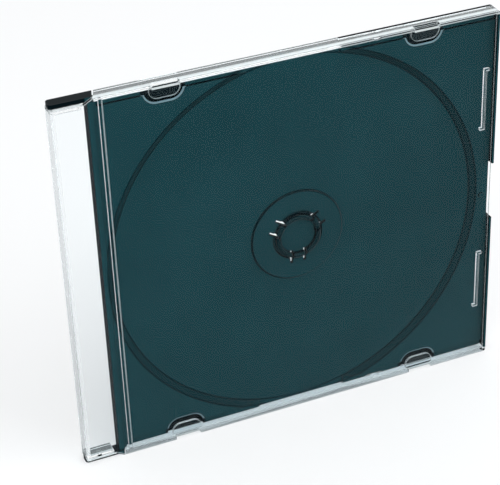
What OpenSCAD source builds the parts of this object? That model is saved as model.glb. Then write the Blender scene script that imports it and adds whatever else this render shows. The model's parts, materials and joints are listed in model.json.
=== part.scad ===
// Slim case for one 120 mm disc: a clear lid with a spine, hinged on a black tray.
// The closed case stands on its bottom long edge, spine to the left, lid to the front.
// Inside the modules x runs from the spine, y from the front face and z from the bottom.

/* [Disc] */
// Diameter of the disc that the case is made for
disc_d = 120; // [80:0.5:130]
// Radial gap between the disc and its recess, at the floor
disc_play = 0.3; // [0.2:0.05:1]

/* [Case] */
// Distance from the outside of the spine to the disc recess
spine_zone = 14.4; // [14:0.1:20]
// Distance from the disc recess to the opening edge
opening_zone = 7; // [6.6:0.1:12]
// Distance from the disc recess to each long edge
edge_zone = 2.2; // [2:0.1:6]
// Thickness of the closed case
case_t = 5.2; // [5.1:0.1:7]
// Radius of the outer corners at the opening edge
corner_r = 1.2; // [0.6:0.1:1.3]
// Gap between the lid and the tray where they pass each other
play = 0.2; // [0.1:0.05:0.3]

/* [Lid] */
// Thickness of the clear front plate
lid_plate = 1.2; // [0.9:0.1:1.3]
// Thickness of the side walls, the spine and the cheeks
lid_wall = 1.3; // [1:0.1:1.6]
// Chamfer along the outer front edges
edge_chamfer = 0.3; // [0.1:0.05:0.5]
// Chamfer along the free edge of the front plate
free_chamfer = 0.5; // [0.2:0.1:0.7]
// Distance from the spine to the middle of the long booklet rib
long_rib_x = 14.7; // [14.4:0.1:16]
// Width of the long booklet rib
long_rib_w = 1.1; // [0.8:0.1:1.7]
// Height of the booklet ribs above the inside of the front plate
rib_rise = 0.9; // [0.6:0.1:1]
// Length of each short booklet rib
short_rib_len = 21; // [12:0.5:28]
// Width of each short booklet rib
short_rib_w = 0.8; // [0.6:0.1:1.2]
// Distance from the middle of a short rib to the middle of the case
short_rib_z = 33; // [28:0.5:38]
// How much wider than the disc the room between the long and the short ribs is
booklet_play = 2.3; // [1.6:0.1:3.2]

/* [Booklet tabs] */
// Distance from the spine to the middle of the first tab on each long edge
tab_from_spine = 34; // [26:0.5:40]
// Distance from the opening edge to the middle of the second tab
tab_from_opening = 25; // [18:0.5:30]
// Width of a tab
tab_w = 9.6; // [7:0.2:11]
// Length of a tab from the inside of the side wall
tab_len = 3.8; // [3:0.1:4.6]
// Thickness of a tab
tab_t = 0.7; // [0.5:0.1:0.9]
// Room for the booklet between the front plate and a tab
tab_gap = 0.6; // [0.5:0.1:0.8]
// Gap around a tab inside its pocket in the tray
pocket_gap = 1.2; // [0.8:0.1:2]
// Thickness of the tray's back under a pocket
pocket_floor = 0.8; // [0.6:0.1:1]
// Width of the ledge around a pocket
ledge_w = 0.5; // [0.3:0.1:0.8]
// Depth of the ledge
ledge_drop = 0.3; // [0.2:0.1:0.6]
// Radius of the two inner corners of a tab
tab_r = 2.6; // [1:0.2:4]

/* [Hinge] */
// Distance from the spine to the hinge axis
hinge_x = 4.6; // [4.2:0.1:4.8]
// Diameter of each hinge pin
hinge_pin_d = 1.8; // [1.4:0.1:2]
// Length of each hinge pin outside its cheek
hinge_pin_len = 1; // [0.7:0.05:1.1]
// Radial clearance of a hinge pin in its arm
hinge_fit = 0.05; // [0.02:0.01:0.1]
// Length of a hinge arm at its front edge, from the spine
arm_len = 12.5; // [12:0.1:13]
// How much longer a hinge arm is at its back edge, which frees the wall as the lid turns
arm_slant = 1.3; // [0.9:0.1:2]
// Thickness of a hinge arm
arm_t = 1.4; // [1.3:0.05:1.7]
// Radius of the free corners of a hinge arm
arm_r = 1.1; // [0.5:0.1:1.6]
// Gap between the end of an arm and the side wall behind it
arm_gap = 0.4; // [0.35:0.05:0.6]

/* [Tray] */
// Distance from the spine to the left side of the tray
tray_left = 11; // [10.9:0.1:12]
// Thickness of the floor under the disc
tray_floor = 1.2; // [1.1:0.1:1.4]
// Height of the tray's rim above its back face
tray_rise = 2.6; // [2.4:0.1:2.8]
// Height of the lip at the tray's left side above its back face
lip_rise = 3.4; // [3:0.1:3.6]
// Width of the lip
lip_w = 1.9; // [1:0.1:2.2]
// Slope of the recess wall, sideways from floor to rim
recess_slope = 1.9; // [0.8:0.1:2.1]
// Width of the gap in the rim beside the disc, at each long edge
finger_w = 30; // [26:0.5:34]
// Width of the lowered border along each long edge
border_w = 2.1; // [1.6:0.1:3]
// Depth of the lowered border
border_drop = 0.8; // [0.4:0.1:1]
// Thickness of the back skin that covers the lid's walls at the opening half
skin_t = 0.9; // [0.7:0.1:1.1]
// Thickness of the wall along the opening edge
end_wall = 0.7; // [0.6:0.1:1.2]
// Width of the thumb gap in the opening edge
thumb_w = 19.8; // [14:0.2:26]

/* [Snaps] */
// Distance from the opening edge to the snap bumps
snap_from_opening = 41; // [36:0.5:46]
// Width of a snap bump
snap_w = 3; // [2:0.2:4]
// Height of a snap bump above the side wall
snap_rise = 0.45; // [0.3:0.05:0.6]

/* [Hub] */
// Diameter of the raised seat that carries the disc
seat_d = 30.8; // [28:0.2:34]
// Height of the seat above the recess floor
seat_rise = 0.5; // [0.3:0.1:0.8]
// Chamfer around the seat
seat_chamfer = 0.3; // [0.1:0.1:0.3]
// Depth of the hollow behind the seat
seat_hollow = 0.5; // [0.2:0.1:0.6]
// Diameter of the hub button, for the disc's 15 mm hole
hub_d = 14.8; // [14.6:0.05:14.95]
// Height of the hub button above the seat
hub_rise = 1.6; // [1.5:0.1:1.9]
// Thickness of the hub button's wall
hub_wall = 1.5; // [1.2:0.1:2.2]
// Width of the groove around the hub button
moat_w = 0.9; // [0.6:0.1:1.4]
// Depth of the groove around the hub button, below the seat
moat_drop = 0.5; // [0.3:0.1:0.7]
// Width of a spring tongue in the hub
tongue_w = 3.6; // [3:0.2:5]
// Width of each slot beside a tongue
slot_w = 0.8; // [0.4:0.1:1]
// Distance from the middle of the hub to the outer end of a slot
slot_reach = 9.6; // [9:0.2:11]
// How far a tongue's bead stands out over the disc
bead_rise = 0.35; // [0.2:0.05:0.45]

/* [Hidden] */
$fn = 96;
cut = 1;
recess_d = disc_d + 2 * disc_play;
case_w = spine_zone + recess_d + opening_zone;
case_h = recess_d + 2 * edge_zone;
disc_x = spine_zone + recess_d / 2;
mid_z = case_h / 2;
hinge_y = case_t / 2;
inner_z = lid_wall + play;
cheek_z = arm_t + play;
cheek_end = 2 * hinge_x - play;
plate_notch_x = 2 * hinge_x + arm_gap;
plate_end = case_w - end_wall - play;
arm_end = arm_len + arm_slant;
rim_y = case_t - tray_rise;
lip_y = case_t - lip_rise;
floor_y = case_t - tray_floor;
finger_x0 = disc_x - finger_w / 2;
finger_x1 = disc_x + finger_w / 2;
tab_x = [tab_from_spine, case_w - tab_from_opening];
tab_y = lid_plate + tab_gap;
snap_x = case_w - snap_from_opening;
short_rib_x = long_rib_x + disc_d + booklet_play + (long_rib_w + short_rib_w) / 2;
pocket_w = tab_w + 2 * pocket_gap;
pocket_len = tab_len + pocket_gap;
snap_y = case_t - skin_t - play - snap_w / 2;
ejector_d = 1.8;
ejector_rise = 0.3;
ejector_x = plate_end - ejector_d - cut / 2;
rib_foot = 0.9;
window_margin = 0.6;
seat_y = floor_y - seat_rise;
hub_y = seat_y - hub_rise;
hub_chamfer = 0.5;
bead_h = 0.8;

// The closed case stands over the origin
module placed() {
    translate([-case_w / 2, -case_t / 2, 0]) children();
}

// The same shape at the bottom edge and, mirrored, at the top edge
module both_edges() {
    children();
    translate([0, 0, case_h]) mirror([0, 0, 1]) children();
}

// A box given by its two opposite corners
module block(low, high) {
    translate(low) cube(high - low);
}

// A shape drawn as seen from the front, x to the right and z up, from depth y0 to depth y1
module sheet(y0, y1) {
    translate([0, y1, 0]) rotate([90, 0, 0]) linear_extrude(y1 - y0) children();
}

// A round shape whose axis runs front to back, standing on depth y and rising to the front
module turned(x, y, z) {
    translate([x, y, z]) rotate([90, 0, 0]) children();
}

// A tab outline that grows from the line y = 0, with two rounded outer corners
module tab_outline(w, len, r) {
    translate([-w / 2, -cut]) square([w, len - r + cut]);
    translate([-w / 2 + r, -cut]) square([w - 2 * r, len + cut]);
    for (side = [-1, 1])
        translate([side * (w / 2 - r), len - r]) circle(r);
}

// Front outline with rounded corners at the opening edge
module opening_outline(x0, x1, z0, z1, r) {
    translate([x0, z0]) square([x1 - x0 - r, z1 - z0]);
    translate([x0, z0 + r]) square([x1 - x0, z1 - z0 - 2 * r]);
    translate([x1 - r, z0 + r]) circle(r);
    translate([x1 - r, z1 - r]) circle(r);
}

// End line of a hinge arm, moved along the arm: the area on its free side
module beyond_arm(x) {
    polygon([[x, 0], [x, lid_plate + play], [x + arm_slant, case_t], [case_w, case_t], [case_w, 0]]);
}

// A wall that lies along the bottom edge, with its outer corner rounded at the opening edge
module side_wall() {
    intersection() {
        block([arm_len, 0, 0], [finger_x1, case_t, lid_wall]);
        linear_extrude(lid_wall) beyond_arm(arm_len + arm_gap);
    }
    intersection() {
        block([finger_x1 - cut, 0, 0], [case_w, case_t - skin_t - play, lid_wall]);
        sheet(0, case_t) opening_outline(0, case_w, 0, case_h, corner_r);
    }
}

// Front plate, stepped back from the hinge arms beside the axis, chamfered at its free edge
module front_plate() {
    c = free_chamfer;
    difference() {
        linear_extrude(case_h)
            polygon([[plate_notch_x, 0], [plate_end - c, 0], [plate_end, c], [plate_end, lid_plate],
                     [plate_notch_x, lid_plate]]);
        both_edges() arm_notch();
    }
    block([0, 0, cheek_z], [plate_notch_x + cut, lid_plate, case_h - cheek_z]);
}

// Slanted end of the plate's notch, which leaves the front of the hinge arm open
module arm_notch() {
    sheet(-cut, lid_plate + cut)
        polygon([[plate_notch_x - cut, -cut], [arm_len, -cut], [arm_len, 0], [plate_notch_x, cheek_z],
                 [plate_notch_x - cut, cheek_z]]);
}

// Cheek that closes the end of the spine and carries a hinge pin
module cheek() {
    block([0, 0, cheek_z], [cheek_end, case_t, cheek_z + lid_wall]);
    translate([hinge_x, hinge_y, cheek_z - hinge_pin_len])
        cylinder(d = hinge_pin_d, h = hinge_pin_len + cut / 2);
}

// Tab that holds the booklet against the front plate
module booklet_tab(x) {
    translate([x, 0, lid_wall]) sheet(tab_y, tab_y + tab_t) tab_outline(tab_w, tab_len, tab_r);
}

// Opening in the wall above a tab
module tab_window(x) {
    reach = tab_w / 2 - window_margin;
    block([x - reach, -cut, -cut], [x + reach, tab_y, lid_wall]);
}

// Bump on the inside of a side wall, which the tray clicks over
module snap_bump() {
    intersection() {
        translate([snap_x, snap_y, lid_wall - snap_w + snap_rise]) sphere(snap_w);
        block([snap_x - snap_w, lid_plate, lid_wall - play],
              [snap_x + snap_w, case_t - skin_t - play, case_h]);
    }
}

// Short rib near the opening edge, with a foot across each end
module short_rib(z) {
    x0 = short_rib_x - short_rib_w / 2;
    x1 = short_rib_x + short_rib_w / 2;
    z0 = z - short_rib_len / 2;
    z1 = z + short_rib_len / 2;
    y1 = lid_plate + rib_rise;
    block([x0, lid_plate - play, z0], [x1, y1, z1]);
    block([x0 - rib_foot, lid_plate - play, z0], [x1, y1, z0 + short_rib_w]);
    block([x0, lid_plate - play, z1 - short_rib_w], [x1 + rib_foot, y1, z1]);
}

// Long rib that stops the booklet at the spine side
module long_rib() {
    block([long_rib_x - long_rib_w / 2, lid_plate - play, lid_wall - play],
          [long_rib_x + long_rib_w / 2, lid_plate + rib_rise, case_h - lid_wall + play]);
}

// Everything behind the chamfers of the front edges
module chamfered_front() {
    c = edge_chamfer;
    intersection() {
        linear_extrude(case_h)
            polygon([[c, 0], [case_w - c, 0], [case_w, c], [case_w, case_t], [0, case_t], [0, c]]);
        rotate([90, 0, 90]) linear_extrude(case_w)
            polygon([[0, c], [c, 0], [case_t, 0], [case_t, case_h], [c, case_h], [0, case_h - c]]);
    }
}

module lid() {
    color("aliceblue", 0.45) placed() intersection() {
        difference() {
            union() {
                front_plate();
                block([0, 0, cheek_z], [lid_wall, case_t, case_h - cheek_z]);
                long_rib();
                for (side = [-1, 1]) short_rib(mid_z + side * short_rib_z);
                both_edges() {
                    side_wall();
                    cheek();
                    snap_bump();
                    for (x = tab_x) booklet_tab(x);
                }
            }
            both_edges() for (x = tab_x) tab_window(x);
        }
        chamfered_front();
    }
}

// Hinge arm with rounded free corners and a blind hole for the pin
module arm() {
    y0 = lid_plate + play;
    difference() {
        linear_extrude(arm_t) difference() {
            union() {
                translate([arm_r, y0]) square([arm_end - arm_r, case_t - y0]);
                translate([0, y0 + arm_r]) square([arm_end, case_t - y0 - 2 * arm_r]);
                translate([arm_r, y0 + arm_r]) circle(arm_r);
                translate([arm_r, case_t - arm_r]) circle(arm_r);
            }
            beyond_arm(arm_len);
        }
        translate([hinge_x, hinge_y, cheek_z - hinge_pin_len - play])
            cylinder(d = hinge_pin_d + 2 * hinge_fit, h = hinge_pin_len + cut);
    }
}

// Lip along the tray's left side, between the arms
module lip() {
    block([tray_left, lip_y, inner_z], [tray_left + lip_w, case_t, case_h - inner_z]);
}

// Corner of the tray that carries an arm
module arm_root() {
    difference() {
        block([tray_left, lip_y, 0], [arm_end, case_t, inner_z + lid_wall]);
        translate([0, 0, -cut]) linear_extrude(case_h) beyond_arm(arm_len);
    }
}

// Round recess for the disc, with a sloped wall
module disc_recess() {
    h = tray_rise - tray_floor;
    top_d = recess_d + 2 * recess_slope * (h + cut) / h;
    turned(disc_x, floor_y, mid_z) cylinder(d1 = recess_d, d2 = top_d, h = h + cut);
}

// Gap in the rim where the disc comes close to a long edge
module finger_gap() {
    block([finger_x0, rim_y - cut, -cut], [finger_x1, floor_y, mid_z]);
}

// Pocket in the rim that takes a booklet tab, with a ledge around it
module tab_pocket(x) {
    translate([x, 0, inner_z]) {
        sheet(rim_y - cut, case_t - pocket_floor)
            tab_outline(pocket_w, pocket_len, tab_r + pocket_gap);
        sheet(rim_y - cut, rim_y + ledge_drop)
            tab_outline(pocket_w + 2 * ledge_w, pocket_len + ledge_w, tab_r + pocket_gap + ledge_w);
    }
}

// Lowered border along a long edge of the rim
module border() {
    block([arm_end, rim_y - cut, -cut], [case_w - end_wall, rim_y + border_drop, inner_z + border_w]);
}

// Notch in the tray's edge that passes a snap bump
module snap_notch() {
    block([snap_x - snap_w, rim_y - cut, -cut], [snap_x + snap_w, case_t - skin_t, inner_z + snap_rise]);
}

// Raised seat with its groove, and the hub button
module hub() {
    outer = hub_d / 2;
    inner = outer - hub_wall;
    c = hub_chamfer;
    turned(disc_x, seat_y + moat_drop, mid_z) rotate_extrude()
        polygon([[0, -cut / 2], [seat_d / 2, -cut / 2], [seat_d / 2, moat_drop - seat_chamfer],
                 [seat_d / 2 - seat_chamfer, moat_drop], [outer + moat_w, moat_drop],
                 [outer + moat_w - moat_drop / 2, 0], [outer, 0],
                 [outer, moat_drop + hub_rise - c], [outer - c, moat_drop + hub_rise],
                 [inner + c, moat_drop + hub_rise], [inner, moat_drop + hub_rise - c],
                 [inner, moat_drop], [0, moat_drop]]);
    intersection() {
        turned(disc_x, seat_y, mid_z) rotate_extrude()
            polygon([[outer - c, hub_rise - c - bead_h], [outer, hub_rise - c - bead_h],
                     [outer + bead_rise, hub_rise - c - bead_h / 2], [outer, hub_rise - c],
                     [outer - c, hub_rise - c]]);
        hub_tongues(tongue_w);
    }
}

// Bars of one width from the middle of the hub out along its three tongues
module hub_tongues(w) {
    for (angle = [30, 150, 270])
        turned(disc_x, case_t, mid_z) rotate([0, 0, angle])
            translate([0, -w / 2, 0]) cube([hub_d, w, case_t]);
}

// Shallow hollow in the tray's back, behind the seat
module seat_back() {
    turned(disc_x, case_t + cut, mid_z)
        cylinder(d = seat_d - 2 * seat_hollow, h = seat_hollow + cut);
}

// Slots through the tray on both sides of each tongue
module hub_slots() {
    start = hub_d / 2 - hub_wall - slot_w;
    for (angle = [30, 150, 270], side = [-1, 1])
        turned(disc_x, case_t + cut, mid_z) rotate([0, 0, angle])
            translate([start, side * (tongue_w + slot_w) / 2 - slot_w / 2, 0])
                cube([slot_reach - start, slot_w, case_t + cut]);
}

// Back skin behind the lid's walls at the opening half
module back_skin() {
    sheet(case_t - skin_t, case_t)
        opening_outline(finger_x1 + play, case_w, 0, case_h, corner_r);
}

// Wall along the opening edge, between the lid's side walls
module opening_wall() {
    block([case_w - end_wall, play, inner_z], [case_w, case_t, case_h - inner_z]);
}

// Gap for the thumb in the wall along the opening edge, in front of the back skin
module thumb_gap() {
    block([case_w - end_wall - play, -cut, mid_z - thumb_w / 2],
          [case_w + cut, case_t - skin_t, mid_z + thumb_w / 2]);
}

module tray() {
    color([0.1, 0.13, 0.14]) placed() difference() {
        union() {
            difference() {
                block([tray_left, rim_y, inner_z], [case_w, case_t, case_h - inner_z]);
                disc_recess();
                turned(disc_x, seat_y + moat_drop, mid_z)
                    cylinder(r = hub_d / 2 + moat_w, h = case_t);
                both_edges() {
                    finger_gap();
                    border();
                    snap_notch();
                    for (x = tab_x) tab_pocket(x);
                }
            }
            both_edges() {
                arm();
                arm_root();
            }
            lip();
            back_skin();
            opening_wall();
            hub();
            turned(ejector_x, rim_y + cut / 2, mid_z - ejector_d)
                cylinder(d = ejector_d, h = ejector_rise + cut / 2);
        }
        hub_slots();
        seat_back();
        thumb_gap();
    }
}

tray();
lid();
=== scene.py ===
import json
import math

import bpy
from mathutils import Matrix, Vector


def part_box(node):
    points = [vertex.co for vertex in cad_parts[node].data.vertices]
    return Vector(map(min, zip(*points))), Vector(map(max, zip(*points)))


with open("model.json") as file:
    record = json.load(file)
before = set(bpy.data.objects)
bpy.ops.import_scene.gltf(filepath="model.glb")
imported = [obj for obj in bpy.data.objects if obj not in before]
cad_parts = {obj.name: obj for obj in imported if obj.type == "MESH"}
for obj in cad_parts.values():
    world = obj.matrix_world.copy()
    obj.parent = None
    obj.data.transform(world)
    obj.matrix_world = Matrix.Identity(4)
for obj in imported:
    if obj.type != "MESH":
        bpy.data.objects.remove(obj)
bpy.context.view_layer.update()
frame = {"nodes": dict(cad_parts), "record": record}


# Tray
# The black back half of the case, one injection moulding of polystyrene that carries the disc.
# Its inner faces are spark-etched in the mould and look satin, and the outside and the two
# hinge arms are polished. The teal of the inner faces is a painted sheen on the black plastic,
# with painted shade along the steps, slanted walls, edges and pocket hollows and a painted
# highlight on the pocket ledges. It is the CAD node itself, with its finish.

class Value:
    """A socket of one material's nodes, so that shader maths reads as an expression."""

    def __init__(self, tree, socket):
        self.tree = tree
        self.socket = socket

    def node(self, kind, settings=None, **inputs):
        """Adds a node: its settings first, then values or links for its sockets.

        A socket is named with a _ for each space, or by its number after a _.
        """
        made = self.tree.nodes.new(kind)
        for name, value in (settings or {}).items():
            if name == "stops":
                fill_ramp(made.color_ramp, value)
            else:
                setattr(made, name, value)
        for name, value in inputs.items():
            key = int(name[1:]) if name[0] == "_" else name.replace("_", " ")
            plug(value, made.inputs[key])
        return made

    def out(self, kind, output=0, settings=None, **inputs):
        """The same, but gives back one output of the new node."""
        return Value(self.tree, self.node(kind, settings, **inputs).outputs[output])

    def maths(self, operation, *values):
        numbered = {f"_{i}": value for i, value in enumerate(values)}
        return self.out("ShaderNodeMath", settings={"operation": operation}, **numbered)

    def __add__(self, other):
        return self.maths("ADD", self, other)

    __radd__ = __add__

    def __sub__(self, other):
        return self.maths("SUBTRACT", self, other)

    def __rsub__(self, other):
        return self.maths("SUBTRACT", other, self)

    def __mul__(self, other):
        return self.maths("MULTIPLY", self, other)

    __rmul__ = __mul__

    def __truediv__(self, other):
        return self.maths("DIVIDE", self, other)

    def __rtruediv__(self, other):
        return self.maths("DIVIDE", other, self)

    def __gt__(self, other):
        return self.maths("GREATER_THAN", self, other)

    def __lt__(self, other):
        return self.maths("LESS_THAN", self, other)

    def size(self):
        return self.maths("ABSOLUTE", self)

    def root(self):
        return self.maths("SQRT", self)

    def most(self, *others):
        """The largest of this value and the others."""
        largest = self
        for other in others:
            largest = self.maths("MAXIMUM", largest, other)
        return largest

    def blend(self, low, high):
        """Mixes two colours by this value. Sockets 6 and 7 of the node take its colours."""
        return self.out("ShaderNodeMix", 2, {"data_type": "RGBA"}, _0=self, _6=low, _7=high)

    def ramp(self, *stops):
        """A grey that follows this value through the stops, each a place and its grey."""
        return self.out("ShaderNodeValToRGB", settings={"stops": stops}, Fac=self)


def fill_ramp(ramp, stops):
    while len(ramp.elements) < len(stops):
        ramp.elements.new(1.0)
    for element, (place, grey) in zip(ramp.elements, stops):
        element.position = place
        element.color = (grey, grey, grey, 1.0)


def plug(value, socket):
    """Links a value to a socket, or sets the socket to a plain number or colour."""
    if isinstance(value, Value):
        value.tree.links.new(value.socket, socket)
    else:
        socket.default_value = value


def feed(shader, **values):
    """Sets a shader's sockets, by link where the value changes over the surface."""
    for name, value in values.items():
        plug(value, shader.inputs[name.replace("_", " ")])


def new_material(name):
    """A material, its shader, and the place on the object, which starts its expressions."""
    material = bpy.data.materials.new(name)
    material.use_nodes = True
    tree = material.node_tree
    place = Value(tree, tree.nodes.new("ShaderNodeTexCoord").outputs["Object"])
    return material, tree.nodes["Principled BSDF"], place


def split(vector):
    """The x, y and z of a vector."""
    parts = vector.node("ShaderNodeSeparateXYZ", Vector=vector).outputs
    return [Value(vector.tree, part) for part in parts]


def facing(place):
    """The way that the surface faces, without bumps."""
    return place.out("ShaderNodeNewGeometry", "Normal")


def noise(place, scale, detail):
    return place.out("ShaderNodeTexNoise", 0, Vector=place, Scale=scale, Detail=detail, Roughness=0.55)


def rounded(place, radius, turned):
    """The normal of a surface whose edges are rounded, and a mask of where it has turned."""
    normal = place.out("ShaderNodeBevel", 0, {"samples": 6}, Radius=radius)
    alike = place.out("ShaderNodeVectorMath", "Value", {"operation": "DOT_PRODUCT"},
                      _0=normal, _1=facing(place))
    return normal, (1.0 - alike).ramp((turned * 0.1, 0.0), (turned, 1.0))


HUB_X, _, HUB_Z = next(mount["pos_m"] for mount in frame["record"]["mounts"]
                       if mount["name"] == "disc_hub")
# Radii and widths of the painted shade along the steps of the seat and the recess, and in the hub's groove.
STEP_RADII = (0.01525, 0.0603, 0.0622)
STEP_LINE = 0.00035
STEP_SHADE_SHARE = 0.8
HUB_WALL = (0.0057, 0.0084)
HUB_SHADE_SHARE = 0.7


def step_shade(place):
    """Painted shade along the steps of the seat and the recess, and in the groove round the hub."""
    along, _, high = split(place)
    across = along - HUB_X
    up = high - HUB_Z
    radius = (across * across + up * up).root()
    groove = (radius > HUB_WALL[0]) * (radius < HUB_WALL[1]) * HUB_SHADE_SHARE
    lines = [((radius - step).size() < STEP_LINE) * STEP_SHADE_SHARE for step in STEP_RADII]
    return groove.most(*lines)


TAB_PLACES = (-0.037, 0.046)
POCKET_HALF = 0.0068
POCKET_FROM = 0.0546
LEDGE_NEAR = 0.00004
LEDGE_FAR = 0.00034


def pocket_highlight_and_shade(place):
    """A painted highlight on the ledges and painted shade in the hollows of the pockets, two at the top and
    two at the bottom.
    """
    along, depth, high = split(place)
    low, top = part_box("tray")
    from_middle = (high - (low.z + top.z) / 2).size()
    at_left, at_right = ((along - middle).size() < POCKET_HALF for middle in TAB_PLACES)
    pocket = at_left.most(at_right) * (from_middle > POCKET_FROM)
    ledge_highlight = pocket * (depth > LEDGE_NEAR) * (depth < LEDGE_FAR)
    hollow_shade = pocket * (depth > LEDGE_FAR)
    return ledge_highlight, hollow_shade


ARM_ZONE = 0.0105
ETCHED_TO = 0.0016


def etched_and_sheen_faces(place, inward):
    """The faces that look at the lid, apart from the arms and the bottoms of deep hollows, which get the
    etch and the painted sheen.
    """
    along, depth, _ = split(place)
    past_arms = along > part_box("tray")[0].x + ARM_ZONE
    return (inward > 0.5) * past_arms * (depth < ETCHED_TO)


# The two teals are a painted sheen on the black plastic. The darkest teal is painted shade at the steps and
# on slanted walls, and the pale grey a painted highlight on the pocket ledges.
TRAY_SHEEN_TEAL = (0.0125, 0.061, 0.073, 1.0)
TRAY_SHEEN_DEEP = (0.004, 0.036, 0.044, 1.0)
TRAY_BLACK = (0.0012, 0.005, 0.007, 1.0)
STEP_SHADE = (0.0, 0.009, 0.013, 1.0)
LEDGE_HIGHLIGHT = (0.2, 0.3, 0.34, 1.0)
CLOUD_SCALE = 26.0
DEEPER_ALONG = 3.0
SLANTED = 0.97
SLANT_SHADE_SHARE = 0.5
TRAY_EDGE = 0.0003
TRAY_TURN = 0.04
EDGE_SHADE_SHARE = 0.95
BACK_GLOSS = 0.6
ETCH_SCALE = 9000.0
ETCH_DEPTH = 0.0000015
POLISHED_ROUGHNESS = 0.16
ETCHED_ROUGHNESS = 0.22
CLOUD_ROUGHNESS = 0.05


def tray_material():
    material, shader, place = new_material("black_polystyrene")
    inward = split(facing(place))[1] * -1.0
    # The faces that look at the lid are etched, and their sheen is painted on as a teal that varies at
    # random and grows darker towards the open side; the plastic itself is black.
    etched_and_sheen = etched_and_sheen_faces(place, inward)
    clouds = noise(place, CLOUD_SCALE, 4.0) - split(place)[0] * DEEPER_ALONG
    # Painted shade along the steps, in the groove round the hub and on walls that slant away from the lid.
    painted_shade = step_shade(place).most((inward < SLANTED) * SLANT_SHADE_SHARE)
    sheen_and_step_shade = painted_shade.blend(clouds.blend(TRAY_SHEEN_DEEP, TRAY_SHEEN_TEAL), STEP_SHADE)
    normal, edges = rounded(place, TRAY_EDGE, TRAY_TURN)
    # Painted shade darkens the rounded edges to black.
    sheen_and_edge_shade = (edges * EDGE_SHADE_SHARE).blend(etched_and_sheen.blend(TRAY_BLACK, sheen_and_step_shade), TRAY_BLACK)
    # A painted highlight on the pocket ledges and painted shade in their hollows.
    ledge_highlight, hollow_shade = pocket_highlight_and_shade(place)
    colour = hollow_shade.blend(ledge_highlight.blend(sheen_and_edge_shade, LEDGE_HIGHLIGHT), TRAY_BLACK)
    gloss = (edges * (1.0 - hollow_shade)).most((inward < -0.5) * BACK_GLOSS)
    roughness = etched_and_sheen * ETCHED_ROUGHNESS + POLISHED_ROUGHNESS + clouds * CLOUD_ROUGHNESS
    etch = noise(place, ETCH_SCALE, 2.0) * etched_and_sheen
    bump = place.out("ShaderNodeBump", 0, Strength=0.2, Distance=ETCH_DEPTH, Height=etch, Normal=normal)
    feed(shader, Base_Color=colour, Roughness=roughness, IOR=1.45, Specular_IOR_Level=0.04,
         Coat_Weight=gloss, Coat_IOR=1.3, Coat_Roughness=0.12, Normal=bump)
    return material


tray = frame["nodes"]["tray"]
tray.data.materials.clear()
tray.data.materials.append(tray_material())


# Lid
# The clear front half, one injection moulding of crystal polystyrene with polished walls.
# It clicks over the tray's edges and turns on two pins moulded on its cheeks. Its edges and the
# front of its upward walls carry a painted highlight. It is the CAD node itself, with its finish.

def mix_shaders(share, under, over):
    """One shader over another, by a share from 0 to 1."""
    first, second = (Value(share.tree, shader.outputs[0]) for shader in (under, over))
    return share.node("ShaderNodeMixShader", Fac=share, _1=first, _2=second)


def cover(material, shader):
    """Gives the material this shader in place of its first one."""
    tree = material.node_tree
    tree.links.new(shader.outputs[0], tree.nodes["Material Output"].inputs["Surface"])


SCRATCH_SLANT = (0.0, 0.6, 0.0)
SCRATCH_SCALE = (30.0, 30.0, 900.0)


def scratches(place):
    """Fine slanted lines, as a clear case gets from being slid in and out of a rack."""
    stretched = place.out("ShaderNodeMapping", 0, Vector=place, Rotation=SCRATCH_SLANT, Scale=SCRATCH_SCALE)
    return noise(stretched, 1.0, 2.0).ramp((0.62, 0.0), (0.7, 1.0))


# How much painted light whitens the upward walls, and over which part of their depth.
WALL_LIGHT_SHARE = 0.65
WALL_STOPS = ((0.308, 1.0), (0.423, 0.1))


def painted_wall_light(place):
    """Where painted light makes the walls that face up look white: the front part of their depth, and
    little behind it.
    """
    front, back = (corner.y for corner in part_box("lid"))
    depth = (split(place)[1] - front) / (back - front)
    facing_up = split(facing(place))[2] > 0.9
    return facing_up * depth.ramp(*WALL_STOPS) * WALL_LIGHT_SHARE


CLEAR_TINT = (0.965, 0.985, 0.99, 1.0)
SMUDGE_TINT = (0.93, 0.96, 0.965, 1.0)
SMUDGE_SCALE = 18.0
VEIL_TINT = (0.03, 0.06, 0.07, 1.0)
SHADOW_TINT = (0.93, 0.96, 0.97, 1.0)
SCRATCH_DEPTH = 0.000004
LID_EDGE = 0.0003
LID_TURN = 0.07
# A painted highlight on the lid's edges: white where an edge faces up, and painted shade where it faces
# down, laid over part of the clear shader.
FROST_HIGHLIGHT = (0.86, 0.93, 0.95, 1.0)
FROST_SHADE = (0.03, 0.045, 0.05, 1.0)
FROST_HIGHLIGHT_SHARE = 0.6


def lid_material():
    material, shader, place = new_material("clear_polystyrene")
    smudge = noise(place, SMUDGE_SCALE, 4.0).ramp((0.5, 0.0), (0.8, 1.0))
    bump = place.out("ShaderNodeBump", 0, Strength=0.05, Distance=SCRATCH_DEPTH, Height=scratches(place))
    feed(shader, Base_Color=smudge.blend(CLEAR_TINT, SMUDGE_TINT), Roughness=0.0, IOR=1.5,
         Specular_Tint=VEIL_TINT, Transmission_Weight=1.0, Normal=bump)
    normal, edges = rounded(place, LID_EDGE, LID_TURN)
    # A painted highlight on the edges and on the front of the upward walls, white where it faces up and
    # painted shade where it faces down.
    lit_from_above = (split(normal)[2] * 0.5 + 0.5).ramp((0.3, 0.0), (0.45, 1.0))
    frost_highlight = place.node("ShaderNodeBsdfPrincipled", Roughness=0.5, Specular_IOR_Level=0.4,
                       Base_Color=lit_from_above.blend(FROST_SHADE, FROST_HIGHLIGHT))
    with_frost_highlight = mix_shaders((edges * FROST_HIGHLIGHT_SHARE).most(painted_wall_light(place)), shader, frost_highlight)
    passing = place.node("ShaderNodeBsdfTransparent", Color=SHADOW_TINT)
    shadow = place.out("ShaderNodeLightPath", "Is Shadow Ray")
    cover(material, mix_shaders(shadow, with_frost_highlight, passing))
    return material


lid = frame["nodes"]["lid"]
lid.data.materials.clear()
lid.data.materials.append(lid_material())


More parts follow.
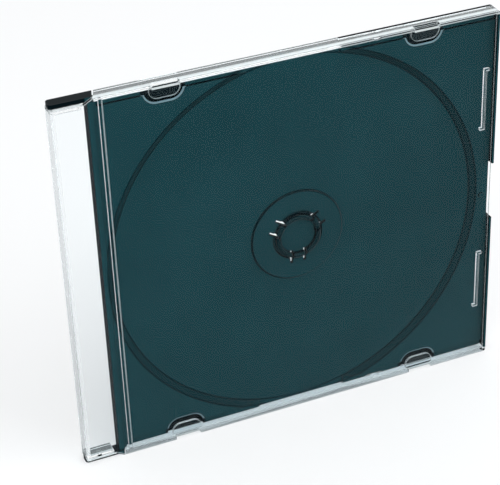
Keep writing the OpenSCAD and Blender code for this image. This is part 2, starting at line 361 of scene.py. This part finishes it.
# Floor
# A plain white table, wide enough to fill the view. It is no part of the object. It keeps
# the case's shadow, looks a little whiter to the camera and darker in reflections.

def sight_rays(start):
    """Masks of the camera's own rays, of those that a gloss sent on, and of those past clear plastic."""
    rays = start.node("ShaderNodeLightPath").outputs
    return [Value(start.tree, rays[f"Is {kind} Ray"]) for kind in ("Camera", "Glossy", "Transmission")]


FLOOR_SIZE = 6.0
FLOOR_WHITE = (0.89, 0.91, 0.925, 1.0)
PURE_WHITE = (1.0, 1.0, 1.0, 1.0)
WHITE_SHARE = 0.4
MIRRORED = (0.18, 0.2, 0.21, 1.0)
MIRRORED_SHARE = 0.9


def table_material():
    material, shader, place = new_material("white_table")
    feed(shader, Base_Color=FLOOR_WHITE, Roughness=0.6, Specular_IOR_Level=0.1)
    camera, glossy, passed = sight_rays(place)
    mirrored = glossy * (1.0 - passed)
    glow = place.node("ShaderNodeEmission", Color=mirrored.blend(PURE_WHITE, MIRRORED), Strength=1.0)
    share = (camera * WHITE_SHARE).most(mirrored * MIRRORED_SHARE)
    cover(material, mix_shaders(share, shader, glow))
    return material


bpy.ops.mesh.primitive_plane_add(size=FLOOR_SIZE, location=(0.0, 0.0, 0.0))
floor = bpy.context.object
floor.name = "table"
floor.data.materials.append(table_material())


# Light
# Two soft lamps above the front, in a white room whose walls look darker low down. The
# lamps aren't seen through the clear plastic.

ROOM_LIGHT = (0.85, 0.85, 0.85, 1.0)
ROOM_LOW = 0.45
ROOM_STOPS = ((0.0, ROOM_LOW), (0.15, ROOM_LOW), (0.4, 1.0))


def light_room():
    world = bpy.data.worlds.new("white_room")
    world.use_nodes = True
    tree = world.node_tree
    direction = Value(tree, tree.nodes.new("ShaderNodeTexCoord").outputs["Generated"])
    walls = split(direction)[2].ramp(*ROOM_STOPS)
    camera, glossy, passed = sight_rays(direction)
    seen = camera.most(glossy, passed)
    feed(tree.nodes["Background"], Color=seen.blend(ROOM_LIGHT, walls), Strength=1.0)
    bpy.context.scene.world = world


LIT_POINT = Vector((0.0, 0.0, 0.05))


def soft_lamp(name, place, side, power):
    """A square lamp turned towards the case."""
    lamp = bpy.data.lights.new(name, "AREA")
    lamp.shape = "RECTANGLE"
    lamp.size = side
    lamp.size_y = side
    lamp.energy = power
    holder = bpy.data.objects.new(name, lamp)
    bpy.context.scene.collection.objects.link(holder)
    holder.location = place
    holder.rotation_mode = "QUATERNION"
    holder.rotation_quaternion = (LIT_POINT - Vector(place)).to_track_quat("-Z", "Y")
    holder.visible_transmission = False


light_room()
soft_lamp("key_light", (-0.35, -0.55, 0.85), side=0.3, power=2.0)
soft_lamp("fill_light", (0.7, -0.5, 0.6), side=0.8, power=5.0)


# Camera
# The photograph's viewing angle, fitted to the case's edges. The offsets slide the camera
# sideways and up from the line to the middle of the case.

IMAGE_W = 500.0
FOCAL_PX = 1694.2
SENSOR_W = 36.0
AZIMUTH = -0.38534
ELEVATION = 0.54886
ROLL = -0.04024
DISTANCE = 0.52115
OFFSET_RIGHT = -0.01145
OFFSET_UP = -0.00131
NEAREST = 0.01


def photo_camera():
    back = Vector((math.sin(AZIMUTH) * math.cos(ELEVATION),
                   -math.cos(AZIMUTH) * math.cos(ELEVATION), math.sin(ELEVATION)))
    level = Vector((math.cos(AZIMUTH), math.sin(AZIMUTH), 0.0))
    upright = back.cross(level)
    right = math.cos(ROLL) * level + math.sin(ROLL) * upright
    up = math.cos(ROLL) * upright - math.sin(ROLL) * level
    low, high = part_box("lid")
    place = (low + high) / 2 + back * DISTANCE + right * OFFSET_RIGHT + up * OFFSET_UP
    data = bpy.data.cameras.new("photo_camera")
    data.sensor_width = SENSOR_W
    data.lens = SENSOR_W * FOCAL_PX / IMAGE_W
    data.clip_start = NEAREST
    camera = bpy.data.objects.new("photo_camera", data)
    turn = Matrix((right, up, back)).transposed().to_4x4()
    camera.matrix_world = Matrix.Translation(place) @ turn
    bpy.context.scene.collection.objects.link(camera)
    bpy.context.scene.camera = camera


photo_camera()
bpy.context.scene.view_settings.view_transform = "Standard"
